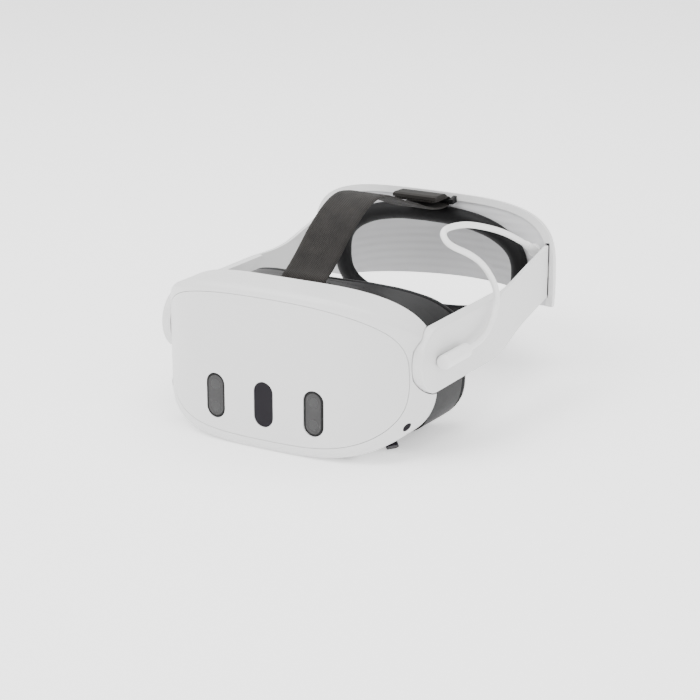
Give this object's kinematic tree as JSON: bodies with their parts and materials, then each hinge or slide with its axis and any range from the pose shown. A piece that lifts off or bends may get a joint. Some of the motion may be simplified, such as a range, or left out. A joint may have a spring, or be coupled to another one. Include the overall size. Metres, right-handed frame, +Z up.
{
  "type": "virtual reality headset",
  "caption": "Standalone headset with a bowed white visor, black face frame, pivoting side arms, slim bands, hooded rear cradle with fit dial, crown strap and a short power lead.",
  "frame": {"origin": "under the centre of the whole headset, on the surface that the visor stands on", "axes": "+Z up, the visor faces -Y, the wearer's left is +X"},
  "size_m": [0.1895, 0.2876, 0.1319],
  "materials": {
    "shell_white": "satin",
    "window_grey": "gloss",
    "window_black": "gloss",
    "charcoal": "satin",
    "interface": "satin",
    "cushion": "matte",
    "alloy": "satin",
    "steel": "brushed",
    "lens_glass": "gloss",
    "board": "satin",
    "cell": "satin",
    "black_part": "satin",
    "grey_cover": "satin",
    "webbing": "woven",
    "cable_white": "satin",
    "gear_plastic": "satin"
  },
  "bodies": {
    "visor": {"front_plate": "shell_white", "left_camera_window": "window_grey", "centre_sensor_window": "window_black", "right_camera_window": "window_grey", "camera_modules": "black_part", "depth_projector": "black_part", "bezel_shell": "shell_white", "side_camera_lenses": "window_black", "visor_chassis": "alloy", "guide_rods": "steel", "main_board": "board", "heat_sink": "alloy", "fan_housing": "black_part", "visor_battery": "cell", "rear_housing": "charcoal", "strap_anchor": "charcoal", "pivot_pins": "steel"},
    "headband": {"left_arm": "shell_white", "right_arm": "shell_white", "usb_socket": "steel", "left_speaker": "black_part", "right_speaker": "black_part", "left_band": "shell_white", "right_band": "shell_white", "left_fit_tongue": "gear_plastic", "right_fit_tongue": "gear_plastic", "cable_plug": "cable_white", "front_strap": "webbing"},
    "rear_cradle": {"rear_shell": "shell_white", "rear_inner_cover": "grey_cover", "crown_ring": "cushion", "left_rear_cell": "cell", "right_rear_cell": "cell", "rear_board": "board", "strap_loop": "charcoal", "strap_end": "webbing", "crown_strap": "webbing", "cable_gland": "cable_white", "power_cable": "cable_white"},
    "fit_dial": {"dial_knob": "shell_white"},
    "left_fit": {"left_fit_rack": "gear_plastic"},
    "right_fit": {"right_fit_rack": "gear_plastic"},
    "face_frame": {"face_interface": "interface", "face_cushion": "cushion"},
    "left_eye": {"left_lens_carriage": "charcoal", "left_lens": "lens_glass", "left_display": "black_part", "left_spacing_rack": "gear_plastic"},
    "right_eye": {"right_lens_carriage": "charcoal", "right_lens": "lens_glass", "right_display": "black_part", "right_spacing_rack": "gear_plastic"},
    "eye_wheel": {"spacing_wheel": "black_part"},
    "rocker": {"volume_rocker": "charcoal"},
    "power_key": {"power_button": "charcoal"},
    "fan": {"fan_rotor": "black_part"}
  },
  "joints": [
    {"name": "headband_pivot", "type": "hinge", "parent": "visor", "child": "headband", "pos_m": [0, -0.0978, 0.0575], "axis": [1, 0, 0], "range_deg": [-10, 25], "deforming": ["front_strap"]},
    {"name": "rear_cradle_slide", "type": "slide", "parent": "headband", "child": "rear_cradle", "axis": [0, 0.9719, 0.2352], "range_m": [-0.006, 0.01], "deforming": ["crown_strap", "power_cable", "left_fit_tongue", "right_fit_tongue"]},
    {"name": "fit_dial_turn", "type": "hinge", "parent": "rear_cradle", "child": "fit_dial", "pos_m": [0, 0.1392, 0.064], "axis": [0, 1, 0], "range_deg": [-50, 83]},
    {"name": "left_fit_slide", "type": "slide", "parent": "rear_cradle", "child": "left_fit", "axis": [1, 0, 0], "range_m": [-0.0061, 0.0101]},
    {"name": "right_fit_slide", "type": "slide", "parent": "rear_cradle", "child": "right_fit", "axis": [1, 0, 0], "range_m": [-0.0101, 0.0061]},
    {"name": "face_frame_slide", "type": "slide", "parent": "visor", "child": "face_frame", "axis": [0, 1, 0], "range_m": [0, 0.008]},
    {"name": "left_eye_slide", "type": "slide", "parent": "visor", "child": "left_eye", "axis": [1, 0, 0], "range_m": [-0.0055, 0.0055]},
    {"name": "right_eye_slide", "type": "slide", "parent": "visor", "child": "right_eye", "axis": [1, 0, 0], "range_m": [-0.0056, 0.0056]},
    {"name": "spacing_wheel_turn", "type": "hinge", "parent": "visor", "child": "eye_wheel", "pos_m": [0.039, -0.1238, 0.014], "axis": [0, 1, 0], "range_deg": [-80, 80]},
    {"name": "volume_rocker_press", "type": "slide", "parent": "visor", "child": "rocker", "axis": [0, 0, 1], "range_m": [0, 0.0008], "stiffness_N_per_m": 900},
    {"name": "power_button_press", "type": "slide", "parent": "visor", "child": "power_key", "axis": [0, 0, 1], "range_m": [0, 0.0008], "stiffness_N_per_m": 900},
    {"name": "fan_spin", "type": "hinge", "parent": "visor", "child": "fan", "pos_m": [0, -0.1318, 0.066], "axis": [0, 1, 0], "continuous": true}
  ],
  "couplings": [
    {"joint": "fit_dial_turn", "follows": "rear_cradle_slide", "rad_per_m": 142.86},
    {"joint": "left_fit_slide", "follows": "rear_cradle_slide", "ratio": 1},
    {"joint": "right_fit_slide", "follows": "rear_cradle_slide", "ratio": -1},
    {"joint": "right_eye_slide", "follows": "left_eye_slide", "ratio": -1},
    {"joint": "spacing_wheel_turn", "follows": "left_eye_slide", "rad_per_m": 250}
  ]
}
